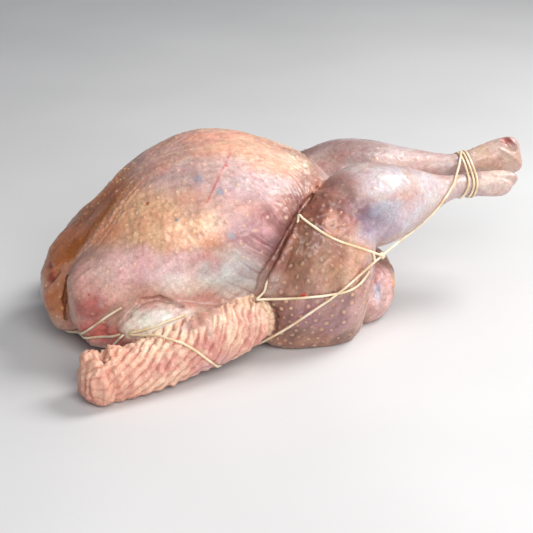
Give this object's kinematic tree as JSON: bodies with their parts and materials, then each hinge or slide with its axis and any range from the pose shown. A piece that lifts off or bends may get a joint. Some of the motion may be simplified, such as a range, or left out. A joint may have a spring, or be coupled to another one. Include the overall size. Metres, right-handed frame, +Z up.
{
  "type": "whole raw turkey",
  "caption": "Whole raw turkey lying on its back, breast up, with trussed drumsticks and wings held by kitchen twine.",
  "frame": {"origin": "centre of the bounding box in X and Y, on the surface the bird lies on", "axes": "+X from the neck end to the hocks, +Y to the bird's far side, +Z up out of the breast"},
  "size_m": [0.4628, 0.2754, 0.179],
  "materials": {
    "skin": "moist raw poultry skin",
    "twine": "twisted cotton"
  },
  "bodies": {
    "root": {"turkey": "skin", "twine_legs": "twine", "twine_wings": "twine"}
  },
  "joints": []
}
